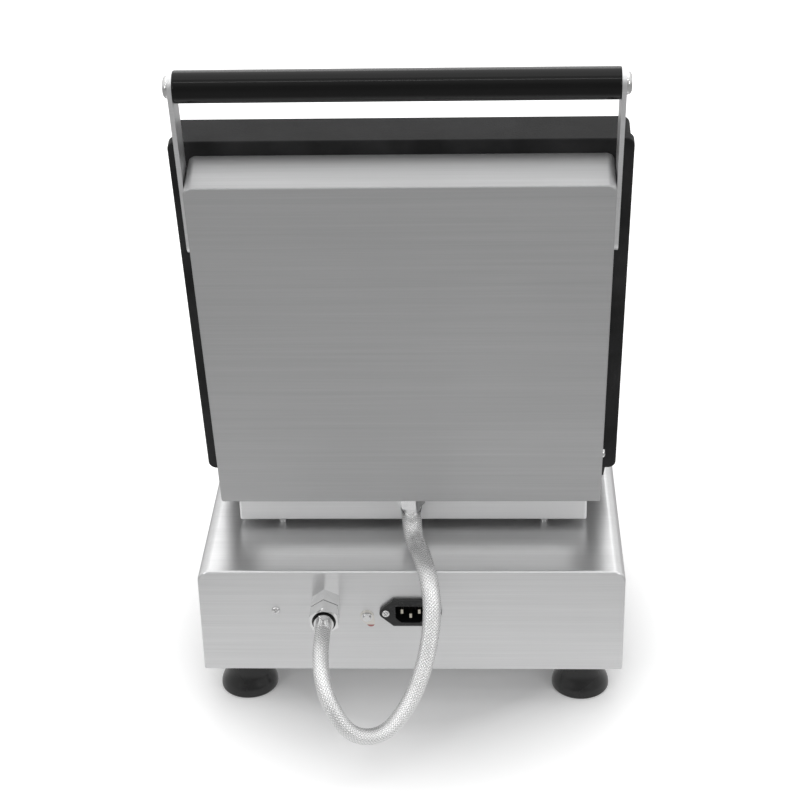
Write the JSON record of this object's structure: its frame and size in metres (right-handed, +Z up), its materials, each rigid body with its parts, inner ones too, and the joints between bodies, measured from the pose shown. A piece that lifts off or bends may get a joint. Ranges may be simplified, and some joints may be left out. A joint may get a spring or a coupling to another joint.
{
  "type": "countertop waffle maker",
  "caption": "Countertop waffle maker: steel cabinet on rubber feet, lower cast plate of deep square moulds, hinged lid leaning open with a bar handle, braided hose behind.",
  "frame": {"origin": "centre of the footprint without the hose, on the floor", "axes": "+Z up; the front with the controls faces -Y and the rear with the inlet and the hose faces +Y; +X is the right-hand side seen from the front"},
  "size_m": [0.3444, 0.5819, 0.5672],
  "materials": {
    "stainless_sheet": "fine horizontal brushing, satin",
    "cast_iron": "matt black, seasoned",
    "black_rubber": "matt",
    "steel_fasteners": "bright zinc or stainless",
    "heater_sheath": "heat-dulled",
    "mineral_wool": "felted",
    "black_phenolic": "polished black",
    "black_plastic": "moulded, matt",
    "contact_brass": "plated",
    "tinned_tag": "tinned",
    "nickel_plate": "bright nickel plate",
    "steel_braid": "fine wire braid",
    "rocker_plastic": "polished",
    "amber_lens": "clear amber",
    "knob_plastic": "satin"
  },
  "bodies": {
    "base": {"base_shell": "stainless_sheet", "rear_panel": "stainless_sheet", "front_panel": "stainless_sheet", "bottom_plate": "stainless_sheet", "rubber_feet": "black_rubber", "foot_screws": "steel_fasteners", "lower_housing": "stainless_sheet", "housing_standoffs": "steel_fasteners", "lower_plate": "cast_iron", "lower_hinge_lugs": "cast_iron", "lower_heating_element": "heater_sheath", "lower_element_clamp": "steel_fasteners", "lower_insulation": "mineral_wool", "hinge_pins": "steel_fasteners", "power_inlet": "black_plastic", "inlet_pins": "contact_brass", "inlet_screws": "steel_fasteners", "earth_tag": "tinned_tag", "earth_screw": "steel_fasteners", "panel_screw": "steel_fasteners", "terminal_block": "black_plastic", "base_gland": "nickel_plate", "base_gland_nut": "nickel_plate", "gland_seal": "black_rubber", "base_ferrule": "nickel_plate", "base_locknut": "nickel_plate", "braided_hose": "steel_braid", "thermostat_body": "black_plastic", "timer_body": "black_plastic", "switch_body": "black_plastic", "pilot_lamps": "amber_lens"},
    "lid": {"upper_plate": "cast_iron", "cover_posts": "cast_iron", "upper_hinge_lugs": "cast_iron", "upper_heating_element": "heater_sheath", "upper_element_clamp": "steel_fasteners", "upper_insulation": "mineral_wool", "lid_cover": "stainless_sheet", "cover_screws": "steel_fasteners", "handle_arm_left": "stainless_sheet", "handle_arm_right": "stainless_sheet", "arm_screws": "steel_fasteners", "handle_grip": "black_phenolic", "handle_rod": "steel_fasteners", "handle_caps": "steel_fasteners", "lid_gland": "nickel_plate", "lid_ferrule": "nickel_plate", "lid_locknut": "nickel_plate"},
    "temperature_knob": {"temperature_knob": "knob_plastic"},
    "timer_knob": {"timer_knob": "knob_plastic"},
    "rocker": {"switch_rocker": "rocker_plastic"}
  },
  "joints": [
    {"name": "lid_hinge", "type": "hinge", "parent": "base", "child": "lid", "pos_m": [0, 0.10567, 0.18515], "axis": [1, 0, 0], "range_deg": [0, 104], "deforming": ["braided_hose"]},
    {"name": "temperature_turn", "type": "hinge", "parent": "base", "child": "temperature_knob", "pos_m": [0.088, -0.2415, 0.088], "axis": [0, 1, 0], "range_deg": [0, 270]},
    {"name": "timer_turn", "type": "hinge", "parent": "base", "child": "timer_knob", "pos_m": [-0.088, -0.2415, 0.088], "axis": [0, 1, 0], "range_deg": [0, 300]},
    {"name": "rocker_tilt", "type": "hinge", "parent": "base", "child": "rocker", "pos_m": [0, -0.2415, 0.088], "axis": [-1, 0, 0], "range_deg": [0, 22]}
  ]
}
